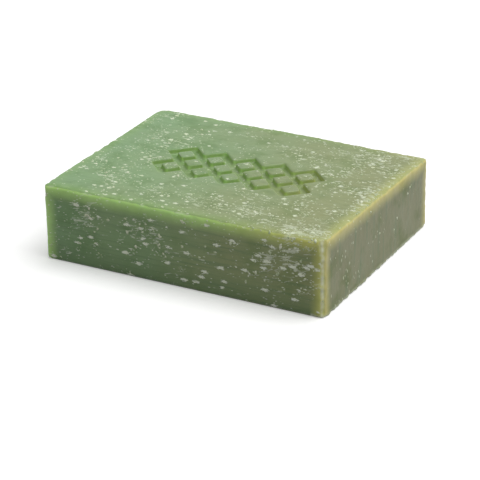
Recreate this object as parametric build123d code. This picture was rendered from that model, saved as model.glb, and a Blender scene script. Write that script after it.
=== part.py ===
from build123d import *
import os
from math import atan2, degrees

# A hand-cut bar of soap, one solid piece.
# Millimetres, Z up.  X runs along the bar, Y from its front long face to its back one.
# The origin lies on the flat base, under the middle of the bar.

# ---- driving dimensions ----
length = 88.0        # front long side
back_extra = 0.9     # the back long side was cut this much longer
width = 69.0         # front face to back face
front_height = 23.0  # thickness at the front face
back_height = 21.3   # thickness at the back face
corner_round = 1.4   # worn upright edges
worn_corner = 3.0    # the back left upright edge is worn rounder than the rest
top_round = 1.2      # worn rim of the top face
base_round = 0.8     # rim of the base
lozenge_size = 9.6   # across the corners of one lozenge in the pressed lattice
lozenge_count = 5    # lozenges along a row
row_count = 2        # rows
groove_wide = 2.2    # the grooves that draw the lozenges
groove_deep = 1.6
groove_corner = 0.6  # blunt corners between the grooves
lip_round = 0.5      # soft lips of the grooves

os.makedirs("parts", exist_ok=True)

# ---- the cut block ----
half_width = width / 2
half_front = length / 2
half_back = half_front + back_extra / 2
plan = Polygon(
    (-half_front, -half_width),
    (half_front, -half_width),
    (half_back, half_width),
    (-half_back, half_width),
    align=None,
)
block = extrude(plan, front_height)

# the cut of the top falls from the front face to the back face
fall = degrees(atan2(front_height - back_height, width))
middle_height = (front_height + back_height) / 2
top_plane = Plane((0, 0, middle_height), x_dir=(1, 0, 0), z_dir=Vector(0, 0, 1).rotate(Axis.X, -fall))
block = split(block, bisect_by=top_plane, keep=Keep.BOTTOM)

# ---- worn edges ----
uprights = block.edges().filter_by(Axis.Z).sort_by_distance((-half_back, half_width, 0))
block = fillet(uprights[1:], corner_round)
back_left = block.edges().filter_by(Axis.Z).sort_by_distance((-half_back, half_width, 0)).first
block = fillet(back_left, worn_corner)
base_rim = block.faces().sort_by(Axis.Z).first.edges()
block = fillet(base_rim, base_round)
top_rim = block.faces().sort_by(Axis.Z).last.edges()
block = fillet(top_rim, top_round)

# ---- lozenge lattice pressed into the middle of the top ----
across = lozenge_size / 2
lozenge = Polygon((-across, 0), (0, -across), (across, 0), (0, across), align=None)
outline = offset(lozenge, groove_wide / 2) - offset(lozenge, -groove_wide / 2)
places = GridLocations(lozenge_size, lozenge_size, lozenge_count, row_count)
lattice = Sketch() + [place * outline for place in places]
soap_bar = block - extrude(top_plane * lattice, -groove_deep)
walls = soap_bar.edges().filter_by(Axis((0, 0, 0), top_plane.z_dir))
soap_bar = fillet(walls, groove_corner)

# the lips are the edges of the top face that lie within the lattice
reach = lozenge_size * lozenge_count / 2 + groove_wide
top_edges = soap_bar.edges().filter_by(lambda e: abs(top_plane.to_local_coords(e.center()).Z) < 0.01)
lips = top_edges.filter_by(lambda e: abs(e.center().X) < reach and abs(e.center().Y) < reach)
soap_bar = fillet(lips, lip_round)

export_step(soap_bar, "parts/soap_bar.step")
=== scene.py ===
import math
import random
import bpy
import bmesh
import numpy as np
from mathutils import Matrix, Vector, noise


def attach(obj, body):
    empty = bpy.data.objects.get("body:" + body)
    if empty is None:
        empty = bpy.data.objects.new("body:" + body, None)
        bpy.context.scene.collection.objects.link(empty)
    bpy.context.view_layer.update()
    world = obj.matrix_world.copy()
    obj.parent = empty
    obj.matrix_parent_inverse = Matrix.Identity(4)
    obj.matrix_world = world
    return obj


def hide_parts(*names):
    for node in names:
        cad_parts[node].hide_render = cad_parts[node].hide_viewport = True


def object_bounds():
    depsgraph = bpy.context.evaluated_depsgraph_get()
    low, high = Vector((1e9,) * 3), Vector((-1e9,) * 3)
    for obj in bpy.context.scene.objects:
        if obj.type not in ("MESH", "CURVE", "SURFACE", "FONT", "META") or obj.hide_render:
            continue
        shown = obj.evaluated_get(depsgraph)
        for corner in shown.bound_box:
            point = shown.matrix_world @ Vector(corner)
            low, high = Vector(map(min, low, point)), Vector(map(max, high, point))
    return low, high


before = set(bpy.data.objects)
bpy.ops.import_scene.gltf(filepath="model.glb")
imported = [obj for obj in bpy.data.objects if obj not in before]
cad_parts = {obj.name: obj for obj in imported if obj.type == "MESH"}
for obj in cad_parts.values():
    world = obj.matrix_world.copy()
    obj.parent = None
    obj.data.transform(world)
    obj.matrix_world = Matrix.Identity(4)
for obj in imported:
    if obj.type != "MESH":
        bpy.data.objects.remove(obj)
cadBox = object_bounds()
mm = 0.001

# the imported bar's size, to a tenth of a millimetre
cadLength, cadWidth, cadHeight = [round(high - low, 4) for low, high in zip(*cadBox)]
print("frame loaded:", cadLength, cadWidth, cadHeight)


def deselectAll():
    bpy.ops.object.select_all(action="DESELECT")


def makeActive(piece):
    deselectAll()
    piece.select_set(True)
    bpy.context.view_layer.objects.active = piece


def editPiece(piece):
    makeActive(piece)
    bpy.ops.object.mode_set(mode="EDIT")


def leaveEdit():
    bpy.ops.object.mode_set(mode="OBJECT")


def pick(piece, kind, wanted):
    # selects the vertices, edges or faces that pass the test, and nothing else
    bpy.ops.mesh.select_mode(type=kind)
    bpy.ops.mesh.select_all(action="DESELECT")
    mesh = bmesh.from_edit_mesh(piece.data)
    parts = {"VERT": mesh.verts, "EDGE": mesh.edges, "FACE": mesh.faces}[kind]
    for part in parts:
        if wanted(part):
            part.select_set(True)
    bmesh.update_edit_mesh(piece.data)


def applyModifier(piece, kind, **settings):
    makeActive(piece)
    modifier = piece.modifiers.new("shaping", kind)
    for key, value in settings.items():
        setattr(modifier, key, value)
    bpy.ops.object.modifier_apply(modifier=modifier.name)


def settle(piece):
    # the place and turn go into the mesh
    makeActive(piece)
    bpy.ops.object.transform_apply(location=True, rotation=True, scale=True)


def addToSoap(piece):
    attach(piece, "root")


def tone(red, green, blue):
    # a screen colour, 0 to 255, as the shader wants it
    shares = [part / 255 for part in (red, green, blue)]
    linear = [s / 12.92 if s < 0.0432 else ((s + 0.055) / 1.055) ** 2.4 for s in shares]
    return (*linear, 1)


def grey(level):
    return (level, level, level, 1)


barValues = {
    "frontLength": cadLength - 0.9 * mm,  # the front is cut a little shorter than the back
    "backLength": cadLength,
    "endSlant": 0.5 * mm,                 # about how much further out each end stands at the back
    "width": cadWidth,
    "frontHeight": cadHeight,
    "backHeight": cadHeight - 1.7 * mm,   # and the top falls to the back
    "cornerRound": 1.2 * mm,
    "wornCorner": 3.2 * mm,               # the back left upright edge
    "topRound": 0.9 * mm,
    "baseRound": 0.6 * mm,
    "voxel": 0.38 * mm,                   # grain of the finished mesh
    "softening": 5,                       # rounds of smoothing after the remesh
}
barValues["middleHeight"] = (barValues["frontHeight"] + barValues["backHeight"]) / 2
barValues["topSlope"] = (barValues["frontHeight"] - barValues["backHeight"]) / barValues["width"]


def standsUp(edge):
    first, second = edge.verts
    return abs(first.co.z - second.co.z) > barValues["backHeight"] / 2


def atBackLeft(edge):
    corner = edge.verts[0].co
    return corner.x < 0 < corner.y


def roundEdges(block, radius, segments, wanted):
    pick(block, "EDGE", wanted)
    bpy.ops.mesh.bevel(offset=radius, segments=segments, affect="EDGES")


def cutBlock():
    size = barValues
    deselectAll()
    bpy.ops.mesh.primitive_cube_add(
        size=1,
        location=(0, 0, size["frontHeight"] / 2),
        scale=(size["backLength"], size["width"], size["frontHeight"]),
    )
    block = bpy.context.object
    block.name = "soapBar"
    settle(block)
    editPiece(block)
    # the top falls to the back, and the front is a little shorter than the back
    pick(block, "VERT", lambda corner: corner.co.z > size["backHeight"] / 2 and corner.co.y > 0)
    bpy.ops.transform.translate(value=(0, 0, size["backHeight"] - size["frontHeight"]))
    pick(block, "VERT", lambda corner: corner.co.y < 0)
    bpy.ops.transform.resize(value=(size["frontLength"] / size["backLength"], 1, 1))
    # worn edges: the uprights, the one that is worn most, the top rim and the base rim
    roundEdges(block, size["cornerRound"], 5, lambda edge: standsUp(edge) and not atBackLeft(edge))
    roundEdges(block, size["wornCorner"], 8, lambda edge: standsUp(edge) and atBackLeft(edge))
    roundEdges(block, size["topRound"], 5, lambda edge: any(f.normal.z > 0.9 for f in edge.link_faces))
    roundEdges(block, size["baseRound"], 4, lambda edge: any(f.normal.z < -0.9 for f in edge.link_faces))
    leaveEdit()
    print("block cut")
    return block


stampValues = {
    "lozenge": 9.6 * mm,      # across its corners
    "columns": 5,
    "rows": 2,
    "grooveWide": 2.2 * mm,
    "grooveDeep": 1.6 * mm,
    "grain": 0.25 * mm,       # voxel of the joined die
    "softening": 4,           # rounds of smoothing of its edges
}


def lozengeFrame():
    # a square ring standing on its corner, as high above the soap as it goes in
    stamp = stampValues
    reach = stamp["lozenge"] / 2 + stamp["grooveWide"] / 2 * math.sqrt(2)
    deselectAll()
    bpy.ops.mesh.primitive_cylinder_add(vertices=4, radius=reach, depth=2 * stamp["grooveDeep"])
    lozenge = bpy.context.object
    editPiece(lozenge)
    pick(lozenge, "FACE", lambda face: abs(face.normal.z) > 0.9)
    bpy.ops.mesh.inset(thickness=stamp["grooveWide"])
    bpy.ops.mesh.bridge_edge_loops()
    leaveEdit()
    return lozenge


def stampDie():
    # one lozenge frame, copied into a lattice and joined
    stamp = stampValues
    lozenge = lozengeFrame()
    frames = []
    for row in range(stamp["rows"]):
        for column in range(stamp["columns"]):
            copy = bpy.data.objects.new("lozenge", lozenge.data.copy())
            bpy.context.collection.objects.link(copy)
            copy.location.x = (column - (stamp["columns"] - 1) / 2) * stamp["lozenge"]
            copy.location.y = (row - (stamp["rows"] - 1) / 2) * stamp["lozenge"]
            frames.append(copy)
    makeActive(frames[0])
    for copy in frames:
        copy.select_set(True)
    bpy.ops.object.join()
    die = bpy.context.object
    bpy.data.objects.remove(lozenge)
    settle(die)
    applyModifier(die, "REMESH", mode="VOXEL", voxel_size=stamp["grain"])
    applyModifier(die, "SMOOTH", factor=0.5, iterations=stamp["softening"])
    # laid on the sloping top
    die.rotation_euler.x = -math.atan(barValues["topSlope"])
    die.location.z = barValues["middleHeight"]
    settle(die)
    return die


def pressStamp(block):
    die = stampDie()
    applyModifier(block, "BOOLEAN", operation="DIFFERENCE", object=die, solver="EXACT")
    bpy.data.objects.remove(die)
    print("stamp pressed")


def waves(points, size, shift):
    # smooth noise from -1 to 1 with humps of the given size; each shift gives other humps
    return np.array([noise.noise(Vector(p) / size + Vector((shift, 0, 0))) for p in points])


def readVertices(piece, what):
    values = np.empty(len(piece.data.vertices) * 3)
    piece.data.vertices.foreach_get(what, values)
    return values.reshape(-1, 3)


def edgeRooms(points):
    # how far each point, in mm, lies inside the ends, the long sides and the top
    size = barValues
    x, y, z = points.T
    halfLength = (size["frontLength"] + size["backLength"]) / 4 / mm
    endRoom = halfLength + size["endSlant"] * y / size["width"] - abs(x)
    sideRoom = size["width"] / mm / 2 - abs(y)
    topRoom = size["middleHeight"] / mm - size["topSlope"] * y - z
    return endRoom, sideRoom, topRoom


def edgeRoom(rooms):
    # two faces meet at an edge, so the second least room is the way to it
    return np.sort(np.stack(rooms), axis=0)[1]


# heights, reaches and hump sizes are in mm
wearValues = {
    "waveHeight": 0.20,       # slow waves of the cut faces
    "waveSizes": (15.0, 5.5),
    "quickWave": 0.45,        # share of the shorter one
    "nibbleDepth": 0.352,     # ragged bites out of the edges
    "nibbleSizes": (1.7, 4.2),
    "broadNibble": 0.6,       # share of the longer ones
    "nibbleShare": 0.15,      # more of the edge is bitten as this goes up
    "nibbleReach": 1.3,
    "lumpHeight": 0.035,      # faint lumps all over
    "lumpSize": 1.1,
    "stillFoot": 0.3,         # none of these move the foot
    "footFade": 2.0,
    "flatWidth": 0.75,        # worn flat down the front right upright edge
    "flatFlare": 0.75,        # how much wider it gets at its top
    "flareFrom": 16.5,
    "flareHeight": 6.0,
    "flatUneven": 0.25,
    "burr": 0.65,             # how far the foot of the right end stands out
    "burrHeight": 1.1,
    "burrReach": 1.5,
    "flatBase": 0.12,         # what lies lower is the base
}


def wearBar(bar):
    wear = wearValues
    points = readVertices(bar, "co") / mm
    x, y, z = points.T        # these follow the points as they move
    endRoom, sideRoom, topRoom = edgeRooms(points)
    nearEdge = np.exp(-np.clip(edgeRoom((endRoom, sideRoom, topRoom)), 0, None) / wear["nibbleReach"])
    offBase = np.clip((z - wear["stillFoot"]) / wear["footFade"], 0, 1)
    slowSize, quickSize = wear["waveSizes"]
    wave = waves(points, slowSize, 3) + wear["quickWave"] * waves(points, quickSize, 11)
    fineSize, broadSize = wear["nibbleSizes"]
    nibble = waves(points, fineSize, 23) + wear["broadNibble"] * waves(points, broadSize, 31)
    bite = nearEdge * np.clip(nibble + wear["nibbleShare"], 0, None)
    lumps = waves(points, wear["lumpSize"], 47)
    move = wear["waveHeight"] * wave - wear["nibbleDepth"] * bite + wear["lumpHeight"] * lumps
    points += readVertices(bar, "normal") * (move * offBase)[:, None]
    # the worn flat, wider at its top
    inward = (endRoom + sideRoom) / math.sqrt(2)
    upper = np.clip((z - wear["flareFrom"]) / wear["flareHeight"], 0, 1) ** 2
    uneven = wear["flatUneven"] * waves(points * [0.3, 0.3, 1], 1.6, 59)
    flat = wear["flatWidth"] + wear["flatFlare"] * upper + uneven
    push = np.where((x > 0) & (y < 0), np.clip(flat - inward, 0, None), 0) / math.sqrt(2)
    x -= push
    y += push
    # the ragged burr
    along = points * [0, 1, 0]
    ragged = 0.5 + 0.9 * waves(along, 1.9, 61) + 0.5 * waves(along, 7.0, 67)
    foot = np.clip(1 - z / wear["burrHeight"], 0, 1) * np.clip(wear["burrReach"] - endRoom, 0, 1)
    x += wear["burr"] * np.clip(ragged, 0, None) * foot * (x > 0)
    z[:] = np.where(z < wear["flatBase"], 0, z)
    bar.data.vertices.foreach_set("co", (points * mm).ravel())
    bar.data.update()
    print("bar worn")


# places where pale crumbs gather: centre, reach in x, y, z, and weight, all in mm
depositSpots = [
    ((36, -31, 23), (9, 5, 4), 0.9),     # near the front right corner
    ((41, 5, 22), (4, 26, 4), 0.45),     # along the right rim
    ((18, -28, 23), (9, 5, 3), 0.55),    # along the front rim, from right to left
    ((5, -25, 23), (10, 5, 3), 0.45),
    ((-17, -25, 23), (4, 5, 3), 0.6),
    ((-30, -22, 23), (5, 4, 3), 0.55),
    ((8, 22, 22), (8, 6, 3), 0.45),      # behind the stamp
    ((30, 24, 22), (10, 8, 3), 0.4),
    ((-33, 12, 22), (7, 9, 3), 0.3),
    ((20, -14, 23), (14, 5, 3), 0.25),   # before the stamp
    ((30, -35, 12), (13, 3, 9), 0.4),    # front face, right half
    ((-32, -35, 15), (6, 3, 6), 0.5),    # front face, left
    ((-8, -35, 13), (10, 3, 6), 0.35),   # front face, middle
]

# sizes and reaches are in mm, and the rest are shares
markValues = {
    "deposit": 0.30,          # the least, before its humps and spots
    "depositHumps": ((9.0, 0.45), (3.5, 0.30)),
    "mostDeposit": 1.2,
    "stampZone": (28, 13, 6), # half its length and width, and its depth, with room to spare
    "wall": 1.05,             # how much of a groove's wall counts as pressed
    "floor": 0.22,            # and of its floor
    "rimDepth": 0.12,         # what lies this near the top isn't pressed
    "stripOffset": 0.2,       # whitened strip down the front right upright edge
    "stripWidth": 0.62,
    "stripReach": 2.3,
    "rimReach": 0.8,          # scuffs along the rims
    "rimDeep": 3,
    "footFrom": 40,           # whitened foot of the right end
    "footHeight": 1.1,
    "stripWhite": 0.85,
    "rimWhite": 0.75,
    "footWhite": 0.95,
    "mostWhite": 0.9,
}


def paleDeposit(points):
    mark = markValues
    (slowSize, slow), (quickSize, quick) = mark["depositHumps"]
    deposit = mark["deposit"] + slow * waves(points, slowSize, 71) + quick * waves(points, quickSize, 83)
    for spot, reach, weight in depositSpots:
        gap = np.linalg.norm((points - spot) / reach, axis=1)
        deposit += weight * np.exp(-gap ** 2)
    return deposit


def pressedShare(points, normals, topRoom):
    mark = markValues
    halfLength, halfWidth, deepest = mark["stampZone"]
    inStamp = (abs(points[:, 0]) < halfLength) & (abs(points[:, 1]) < halfWidth) & (topRoom < deepest)
    wall = np.clip(mark["wall"] - abs(normals[:, 2]), 0, 1) * inStamp
    depth = np.clip(topRoom / (stampValues["grooveDeep"] / mm), 0, 1) * inStamp
    return np.clip(wall + mark["floor"] * depth, 0, 1) * (topRoom > mark["rimDepth"])


def whitenedWear(points, rooms, deposit):
    mark = markValues
    x, y, z = points.T
    endRoom, sideRoom, topRoom = rooms
    # the flat down the front right upright edge
    inward = (endRoom + sideRoom) / math.sqrt(2)
    strip = np.exp(-((endRoom - sideRoom - mark["stripOffset"]) / mark["stripWidth"]) ** 2)
    strip *= np.clip(mark["stripReach"] - inward, 0, 1) * (x > 0) * (y < 0)
    strip *= np.clip(0.75 + 0.9 * waves(points, 1.0, 97), 0, 1)
    # scuffs along the rims, where there is deposit too
    rim = np.clip(1 - edgeRoom(rooms) / mark["rimReach"], 0, 1) * (topRoom < mark["rimDeep"])
    rim *= np.clip(3.0 * waves(points * [0.5, 1, 1], 1.2, 103) - 0.7, 0, 1)
    rim *= np.clip(deposit + 0.4, 0, 1)
    # the foot of the right end
    foot = (x > mark["footFrom"]) * np.clip(mark["footHeight"] - z, 0, 1)
    foot = foot * np.clip(0.8 + waves(points, 1.6, 109), 0, 1)
    white = mark["stripWhite"] * strip + mark["rimWhite"] * rim + mark["footWhite"] * foot
    return np.clip(white, 0, mark["mostWhite"])


def markBar(bar):
    # three painted layers for the finish
    points = readVertices(bar, "co") / mm
    rooms = edgeRooms(points)
    deposit = paleDeposit(points)
    layers = {
        "deposit": np.clip(deposit, 0, markValues["mostDeposit"]),
        "pressed": pressedShare(points, readVertices(bar, "normal"), rooms[2]),
        "worn": whitenedWear(points, rooms, deposit),
    }
    for name, values in layers.items():
        layer = bar.data.attributes.new(name, "FLOAT", "POINT")
        layer.data.foreach_set("value", values.astype(np.float32))
    print("bar marked:", ", ".join(layers))


def flattenBase(bar):
    # the base becomes one face
    editPiece(bar)
    pick(bar, "FACE", lambda face: all(corner.co.z == 0 for corner in face.verts))
    bpy.ops.mesh.dissolve_faces()
    leaveEdit()


def buildBar():
    bar = cutBlock()
    pressStamp(bar)
    applyModifier(bar, "REMESH", mode="VOXEL", voxel_size=barValues["voxel"])
    applyModifier(bar, "SMOOTH", factor=0.5, iterations=barValues["softening"])
    wearBar(bar)
    markBar(bar)
    flattenBase(bar)
    makeActive(bar)
    bpy.ops.object.shade_smooth()
    addToSoap(bar)
    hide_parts("soap_bar")
    print("bar:", len(bar.data.polygons), "faces")
    return bar


crumbValues = {
    "count": 650,
    "small": 0.16 * mm,       # half length of the least and the largest
    "large": 0.52 * mm,
    "stretch": (1.0, 1.9),    # how much longer than wide
    "thickness": (0.3, 0.55),
    "roughness": 0.45,        # how far a flake's corners are moved
    "bareDeposit": 0.15,      # where the deposit is thinner, there are none
    "gathering": 1.6,         # higher draws them to the thickest places
    "lowest": 1.5 * mm,
    "onEnds": 0.25,           # share that the smooth ends hold
    "seed": 17,
    "dull": tone(168, 184, 140),
    "pale": tone(222, 226, 202),
}


def modelChip():
    # one rough flake, a unit in radius
    deselectAll()
    bpy.ops.mesh.primitive_ico_sphere_add(subdivisions=1, radius=1)
    chip = bpy.context.object
    editPiece(chip)
    bpy.ops.mesh.select_all(action="SELECT")
    bpy.ops.transform.vertex_random(offset=crumbValues["roughness"], seed=5)
    leaveEdit()
    return chip


def readLayer(bar, name):
    values = np.empty(len(bar.data.vertices))
    bar.data.attributes[name].data.foreach_get("value", values)
    return values


def crumbChances(bar, points, normals):
    # how likely each vertex of the bar is to hold a crumb
    crumb = crumbValues
    chances = np.clip(readLayer(bar, "deposit") - crumb["bareDeposit"], 0, None) ** crumb["gathering"]
    chances *= (readLayer(bar, "pressed") < 0.05) & (points[:, 2] > crumb["lowest"])
    chances *= np.where(abs(normals[:, 0]) > 0.7, crumb["onEnds"], 1.0)
    return chances


def scatterCrumbs(bar):
    crumb = crumbValues
    dice = random.Random(crumb["seed"])
    chip = modelChip()
    points = readVertices(bar, "co")
    normals = readVertices(bar, "normal")
    reached = np.cumsum(crumbChances(bar, points, normals))
    crumbs = bmesh.new()
    for _ in range(crumb["count"]):
        at = int(np.searchsorted(reached, dice.random() * reached[-1]))
        size = crumb["small"] + (crumb["large"] - crumb["small"]) * dice.random() ** 3
        length = size * dice.uniform(*crumb["stretch"])
        shape = Matrix.Diagonal((length, size, size * dice.uniform(*crumb["thickness"]), 1))
        turn = Vector(normals[at]).to_track_quat("Z", "Y").to_matrix().to_4x4()
        spin = Matrix.Rotation(dice.uniform(0, math.tau), 4, "Z")
        known = len(crumbs.verts)
        crumbs.from_mesh(chip.data)
        crumbs.verts.ensure_lookup_table()
        bmesh.ops.transform(
            crumbs,
            matrix=Matrix.Translation(points[at]) @ turn @ spin @ shape,
            verts=crumbs.verts[known:],
        )
    mesh = bpy.data.meshes.new("crumbs")
    crumbs.to_mesh(mesh)
    crumbs.free()
    bpy.data.objects.remove(chip)
    piece = bpy.data.objects.new("crumbs", mesh)
    bpy.context.collection.objects.link(piece)
    makeActive(piece)
    bpy.ops.object.shade_smooth()
    addToSoap(piece)
    print("crumbs:", len(mesh.polygons), "faces")
    return piece


def newMaterial(name):
    material = bpy.data.materials.new(name)
    material.use_nodes = True
    material.node_tree.nodes.clear()
    return material, material.node_tree


def addNode(tree, kind, inputs=None, **settings):
    node = tree.nodes.new(kind)
    for key, value in settings.items():
        setattr(node, key, value)
    for key, value in (inputs or {}).items():
        if isinstance(value, bpy.types.NodeSocket):
            tree.links.new(value, node.inputs[key])
        else:
            node.inputs[key].default_value = value
    return node


def calc(tree, operation, a, b=0.0, c=0.0):
    return addNode(tree, "ShaderNodeMath", {0: a, 1: b, 2: c}, operation=operation).outputs[0]


def ramp(tree, value, low, high, start=0.0, end=1.0):
    # start below low, end above high, smooth between
    node = addNode(
        tree,
        "ShaderNodeMapRange",
        {"Value": value, "From Min": low, "From Max": high, "To Min": start, "To Max": end},
        interpolation_type="SMOOTHSTEP",
    )
    return node.outputs["Result"]


def blend(tree, amount, first, second):
    node = addNode(tree, "ShaderNodeMix", {0: amount, 6: first, 7: second}, data_type="RGBA")
    return node.outputs[2]


def blendPlace(tree, amount, first, second):
    node = addNode(tree, "ShaderNodeMix", {0: amount, 4: first, 5: second}, data_type="VECTOR")
    return node.outputs[1]


def cloud(tree, place, scale, detail=2.0, roughness=0.5, distortion=0.0):
    node = addNode(
        tree,
        "ShaderNodeTexNoise",
        {"Vector": place, "Scale": scale, "Detail": detail, "Roughness": roughness, "Distortion": distortion},
    )
    return node.outputs[0]


def stretched(tree, place, scale, turn=(0, 0, 0)):
    node = addNode(tree, "ShaderNodeMapping", {"Vector": place, "Scale": scale, "Rotation": turn})
    return node.outputs[0]


def layerOf(tree, name):
    return addNode(tree, "ShaderNodeAttribute", attribute_name=name).outputs["Fac"]


soapFinish = {
    "leaf": tone(112, 148, 98),        # the fresh green of the left end
    "olive": tone(131, 138, 88),       # the riper right end
    "ripening": (-30 * mm, 75 * mm),   # where one turns into the other
    "paintedEndGrey": tone(112, 110, 74),     # the greyer, darker look of the ends, painted in: their shade and greyish sheen
    "endShare": 0.65,
    "shade": tone(84, 112, 66),        # darker, wetter patches and drag marks, and the painted shade along the foot
    "patchShare": 0.30,
    "dragShare": 0.55,                 # marks of the cutting wire
    "dragOnTop": 0.4,
    "dragAlong": (45, 1500, 1500),     # how fine they are along each axis on the long sides
    "dragUp": (900, 900, 70),          # and on the ends
    "paintedFootShade": 0.55,                 # painted shade along the foot of the long sides
    "footReach": 9 * mm,
    # light coming through the thin edges: green at the left, riper at the right
    "topGlow": (tone(128, 166, 78), tone(168, 172, 100)),
    "sideGlow": (tone(190, 232, 136), tone(206, 208, 112)),
    "endGlow": (tone(150, 188, 104), tone(206, 198, 122)),
    "glowReach": 4.9 * mm,
    "glowUneven": 1.2 * mm,
    "glowOnSides": 0.95,
    "glowOnTop": (0.35, 0.8),          # the share before and past the stretch below
    "topStretch": (28 * mm, 44 * mm),
    "glowInStamp": 0.7,
    # pale bloom: size of a cell, then shares of it
    "ash": tone(214, 222, 196),
    "paintedLitSideAsh": tone(240, 246, 226),    # the ash on the long sides, painted brighter to stand out of their shade
    "ashOnEnds": 0.25,
    "topGrain": (0.75, 1.0, 1.0),      # under 1 draws the specks out along that axis
    "longGrain": (0.45, 1.0, 1.0),
    "longSlant": 32,                   # degrees
    "endGrain": (1.0, 1.0, 0.45),
    "dust": {
        "cell": 0.62 * mm, "reach": 0.34, "ragged": 0.45, "gain": 0.68, "least": 0.06, "strength": 0.62,
    },
    "flake": {
        "cell": 1.55 * mm, "reach": 0.30, "ragged": 1.15, "gain": 0.66, "least": 0.02, "strength": 0.92,
    },
    "smearGain": 0.17,
    "smearEdge": (0.66, 0.75),
    "smearStrength": 0.55,
    "roughness": (0.42, 0.62),         # of wet soap and of dry bloom
    "bumpStrength": 0.45,
    "bumpHeight": 0.16 * mm,
    "throughShare": 0.25,              # light that goes under the surface
    "throughReach": 1.2 * mm,
}


def edgeDistance(tree, x, y, z):
    # the second least of the rooms inside the ends, the sides and the top
    size = barValues
    halfLength = (size["frontLength"] + size["backLength"]) / 4
    endRoom = calc(tree, "SUBTRACT", halfLength, calc(tree, "ABSOLUTE", x))
    sideRoom = calc(tree, "SUBTRACT", size["width"] / 2, calc(tree, "ABSOLUTE", y))
    top = calc(tree, "MULTIPLY_ADD", y, -size["topSlope"], size["middleHeight"])
    topRoom = calc(tree, "SUBTRACT", top, z)
    pairs = [(endRoom, sideRoom), (endRoom, topRoom), (sideRoom, topRoom)]
    ridges = [calc(tree, "MAXIMUM", a, b) for a, b in pairs]
    return calc(tree, "MINIMUM", calc(tree, "MINIMUM", ridges[0], ridges[1]), ridges[2])


def soapBody(tree, place, x, z, sides):
    # colour from end to end, with slow patches, drag marks, the painted grey of the ends and painted shade
    # along the foot
    look = soapFinish
    ripe = ramp(tree, calc(tree, "MULTIPLY_ADD", cloud(tree, place, 55, 3), 50 * mm, x), *look["ripening"])
    body = blend(tree, ripe, look["leaf"], look["olive"])
    # painted shade and greyish sheen on the end faces
    body = blend(tree, calc(tree, "MULTIPLY", sides["end"], look["endShare"]), body, look["paintedEndGrey"])
    patch = ramp(tree, cloud(tree, place, 130, 4, 0.6), 0.42, 0.72)
    body = blend(tree, calc(tree, "MULTIPLY", patch, look["patchShare"]), body, look["shade"])
    dragAlong = cloud(tree, stretched(tree, place, look["dragAlong"]), 1.0, 3, 0.6)
    dragUp = cloud(tree, stretched(tree, place, look["dragUp"]), 1.0, 3, 0.6)
    drag = blend(tree, sides["end"], dragAlong, dragUp)
    dragShade = ramp(tree, drag, 0.46, 0.72, 0.0, look["dragShare"])
    offTop = calc(tree, "MULTIPLY_ADD", sides["top"], look["dragOnTop"] - 1, 1.0)
    body = blend(tree, calc(tree, "MULTIPLY", dragShade, offTop), body, look["shade"])
    # painted shade: darker towards the foot of the long sides
    foot = ramp(tree, z, 0.0, look["footReach"], look["paintedFootShade"], 0.0)
    body = blend(tree, calc(tree, "MULTIPLY", foot, sides["long"]), body, look["shade"])
    return body, patch, drag


def edgeGlow(tree, place, x, y, z, sides, pressed):
    # light through the thin edges and through the lips of the stamp: its share and its colour
    look = soapFinish
    uneven = calc(tree, "SUBTRACT", cloud(tree, place, 300, 2), 0.5)
    near = calc(tree, "MULTIPLY_ADD", uneven, look["glowUneven"], edgeDistance(tree, x, y, z))
    glow = ramp(tree, near, 0.0, look["glowReach"], 1.0, 0.0)
    topShare = ramp(tree, x, *look["topStretch"], *look["glowOnTop"])
    glow = calc(tree, "MULTIPLY", glow, blend(tree, sides["top"], grey(look["glowOnSides"]), topShare))
    glow = calc(tree, "MAXIMUM", glow, calc(tree, "MULTIPLY", pressed, look["glowInStamp"]))
    ripe = ramp(tree, x, 0.0, 43 * mm)
    topTone = blend(tree, ripe, *look["topGlow"])
    sideTone = blend(tree, ripe, *look["sideGlow"])
    endTone = blend(tree, ripe, *look["endGlow"])
    glowTone = blend(tree, sides["end"], blend(tree, sides["long"], topTone, sideTone), endTone)
    return glow, glowTone


def flecks(tree, place, look, thick):
    # pale spots: one in each chosen cell, with a ragged outline
    cells = addNode(tree, "ShaderNodeTexVoronoi", {"Vector": place, "Scale": 1 / look["cell"]})
    distance, tint = cells.outputs["Distance"], cells.outputs["Color"]
    chance, size = addNode(tree, "ShaderNodeSeparateColor", {0: tint}).outputs[:2]
    edge = cloud(tree, place, 4.5 / look["cell"], detail=4, roughness=0.7)
    centred = calc(tree, "SUBTRACT", distance, look["ragged"] / 2)
    rough = calc(tree, "MULTIPLY_ADD", edge, look["ragged"], centred)
    limit = calc(tree, "MULTIPLY_ADD", size, look["reach"], look["reach"] * 0.35)
    spot = ramp(tree, calc(tree, "SUBTRACT", limit, rough), 0.0, 0.10)
    share = calc(tree, "MULTIPLY_ADD", thick, look["gain"], look["least"])
    chosen = ramp(tree, calc(tree, "SUBTRACT", share, chance), 0.0, 0.05)
    return calc(tree, "MULTIPLY", calc(tree, "MULTIPLY", spot, chosen), look["strength"])


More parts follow.
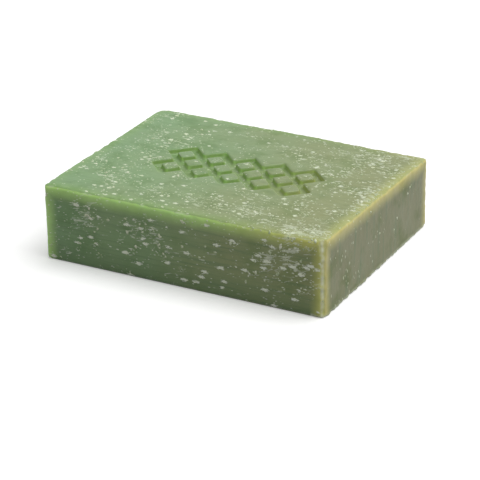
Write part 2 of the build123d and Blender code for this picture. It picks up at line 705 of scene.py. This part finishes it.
def paleBloom(tree, place, sides, pressed):
    # dust, flakes and smears, thickest where the deposit is, and the whitened wear
    look = soapFinish
    onTop = stretched(tree, place, look["topGrain"])
    slanted = stretched(tree, place, look["longGrain"], (0, math.radians(look["longSlant"]), 0))
    upEnd = stretched(tree, place, look["endGrain"])
    grain = blendPlace(tree, sides["end"], blendPlace(tree, sides["long"], onTop, slanted), upEnd)
    endShare = ramp(tree, sides["end"], 0.0, 1.0, 1.0, look["ashOnEnds"])
    thick = calc(tree, "MULTIPLY", layerOf(tree, "deposit"), endShare)
    dust = flecks(tree, grain, look["dust"], thick)
    flakes = flecks(tree, grain, look["flake"], thick)
    streaks = cloud(tree, stretched(tree, grain, (0.5, 1.0, 1.0)), 900, 5, 0.72, 0.6)
    smear = ramp(tree, calc(tree, "MULTIPLY_ADD", thick, look["smearGain"], streaks), *look["smearEdge"])
    smear = calc(tree, "MULTIPLY", smear, look["smearStrength"])
    ash = calc(tree, "MAXIMUM", calc(tree, "MAXIMUM", dust, flakes), smear)
    ash = calc(tree, "MULTIPLY", ash, calc(tree, "SUBTRACT", 1.0, pressed))
    return calc(tree, "MAXIMUM", ash, layerOf(tree, "worn"))


def soapMaterial():
    look = soapFinish
    material, tree = newMaterial("speckledGreenSoap")
    coordinates = addNode(tree, "ShaderNodeTexCoord").outputs
    place = coordinates["Object"]
    x, y, z = addNode(tree, "ShaderNodeSeparateXYZ", {0: place}).outputs[:3]
    nx, ny, nz = addNode(tree, "ShaderNodeSeparateXYZ", {0: coordinates["Normal"]}).outputs[:3]
    sides = {
        "top": ramp(tree, nz, 0.5, 0.9),
        "long": ramp(tree, calc(tree, "ABSOLUTE", ny), 0.5, 0.9),
        "end": ramp(tree, calc(tree, "ABSOLUTE", nx), 0.5, 0.9),
    }
    pressed = layerOf(tree, "pressed")
    body, patch, drag = soapBody(tree, place, x, z, sides)
    glow, glowTone = edgeGlow(tree, place, x, y, z, sides, pressed)
    ash = paleBloom(tree, place, sides, pressed)
    # painted light: the ash is brighter on the long sides, which lie in shade
    ashTone = blend(tree, sides["long"], look["ash"], look["paintedLitSideAsh"])
    colour = blend(tree, ash, blend(tree, glow, body, glowTone), ashTone)
    roughness = ramp(tree, calc(tree, "MAXIMUM", ash, patch), 0.0, 1.0, *look["roughness"])
    height = calc(tree, "MULTIPLY_ADD", drag, 0.35, calc(tree, "MULTIPLY", ash, 0.9))
    height = calc(tree, "MULTIPLY_ADD", cloud(tree, place, 700, 4), 0.4, height)
    bump = addNode(tree, "ShaderNodeBump", {
        "Height": height, "Strength": look["bumpStrength"], "Distance": look["bumpHeight"],
    })
    shader = addNode(tree, "ShaderNodeBsdfPrincipled", {
        "Base Color": colour,
        "Roughness": roughness,
        "Normal": bump.outputs[0],
        "Subsurface Weight": look["throughShare"],
        "Subsurface Radius": (0.9, 1.0, 0.4),
        "Subsurface Scale": look["throughReach"],
    })
    addNode(tree, "ShaderNodeOutputMaterial", {"Surface": shader.outputs[0]})
    print("soap finish made")
    return material


def crumbMaterial():
    material, tree = newMaterial("paleCrumb")
    place = addNode(tree, "ShaderNodeTexCoord").outputs["Object"]
    shift = ramp(tree, cloud(tree, place, 500, 3, 0.6), 0.35, 0.65)
    bump = addNode(tree, "ShaderNodeBump", {
        "Height": cloud(tree, place, 3500, 3, 0.6), "Strength": 0.4, "Distance": 0.08 * mm,
    })
    shader = addNode(tree, "ShaderNodeBsdfPrincipled", {
        "Base Color": blend(tree, shift, crumbValues["dull"], crumbValues["pale"]),
        "Roughness": 0.7,
        "Normal": bump.outputs[0],
    })
    addNode(tree, "ShaderNodeOutputMaterial", {"Surface": shader.outputs[0]})
    print("crumb finish made")
    return material


stageValues = {
    "floorSide": 6.0,
    "floorGrey": 0.32,        # what the floor gives back to the soap
    "floorWhite": 0.9,        # what the eye sees of it
    "floorLift": 0.22,
    "skyStrength": 0.36,
    # strength, spread of its disc, height, and bearing from the right end round to the back, in degrees
    "keySun": (2.05, 50, 72, 40),
    "sideSun": (0.45, 40, 35, 10),
}


def seenDirectly(tree):
    # 1 for camera, mirror and see-through rays, 0 for the light that falls on things
    rays = addNode(tree, "ShaderNodeLightPath").outputs
    seen = calc(tree, "MAXIMUM", rays["Is Camera Ray"], rays["Is Glossy Ray"])
    return calc(tree, "MAXIMUM", seen, rays["Is Transmission Ray"])


def buildFloor():
    deselectAll()
    bpy.ops.mesh.primitive_plane_add(size=stageValues["floorSide"])
    floor = bpy.context.object
    floor.name = "studioFloor"
    material, tree = newMaterial("studioFloor")
    seen = seenDirectly(tree)
    colour = blend(tree, seen, grey(stageValues["floorGrey"]), grey(stageValues["floorWhite"]))
    matt = addNode(tree, "ShaderNodeBsdfDiffuse", {"Color": colour})
    strength = calc(tree, "MULTIPLY", seen, stageValues["floorLift"])
    lift = addNode(tree, "ShaderNodeEmission", {"Strength": strength})
    both = addNode(tree, "ShaderNodeAddShader", {0: matt.outputs[0], 1: lift.outputs[0]})
    addNode(tree, "ShaderNodeOutputMaterial", {"Surface": both.outputs[0]})
    floor.data.materials.append(material)


def buildSky():
    world = bpy.data.worlds.new("studioSky")
    bpy.context.scene.world = world
    world.use_nodes = True
    tree = world.node_tree
    tree.nodes.clear()
    dim = stageValues["skyStrength"]
    strength = calc(tree, "MULTIPLY_ADD", seenDirectly(tree), 1 - dim, dim)
    glow = addNode(tree, "ShaderNodeBackground", {"Color": grey(1), "Strength": strength})
    addNode(tree, "ShaderNodeOutputWorld", {"Surface": glow.outputs[0]})


def hangSun(name):
    strength, spread, height, bearing = stageValues[name]
    data = bpy.data.lights.new(name, "SUN")
    data.energy = strength
    data.angle = math.radians(spread)
    lamp = bpy.data.objects.new(name, data)
    bpy.context.collection.objects.link(lamp)
    up = math.radians(height)
    around = math.radians(bearing)
    towards = Vector((math.cos(up) * math.cos(around), math.cos(up) * math.sin(around), math.sin(up)))
    lamp.rotation_euler = towards.to_track_quat("Z", "Y").to_euler()
    lamp.location = towards


cameraValues = {
    "turn": 27.78,            # degrees from the front round to the right end
    "lift": 25.07,            # degrees above the floor
    "tilt": -0.71,            # degrees
    "lens": 172.5,
    "aim": (0, 0, 11 * mm),
    "offset": (0.56 * mm, -9.81 * mm, 663.54 * mm),  # aside, down and back from the aim
}


def placeCamera():
    # seen from the front right, a little above
    view = cameraValues
    facing = (
        Matrix.Rotation(math.radians(view["turn"]), 4, "Z")
        @ Matrix.Rotation(math.pi / 2 - math.radians(view["lift"]), 4, "X")
        @ Matrix.Rotation(math.radians(view["tilt"]), 4, "Z")
    )
    data = bpy.data.cameras.new("camera")
    data.lens = view["lens"]
    camera = bpy.data.objects.new("camera", data)
    bpy.context.collection.objects.link(camera)
    camera.matrix_world = Matrix.Translation(view["aim"]) @ facing @ Matrix.Translation(view["offset"])
    bpy.context.scene.camera = camera


bar = buildBar()
bar.data.materials.append(soapMaterial())
crumbs = scatterCrumbs(bar)
crumbs.data.materials.append(crumbMaterial())
buildFloor()
buildSky()
hangSun("keySun")
hangSun("sideSun")
placeCamera()
bpy.context.scene.view_settings.view_transform = "Standard"
print("floor, sky, suns and camera placed")
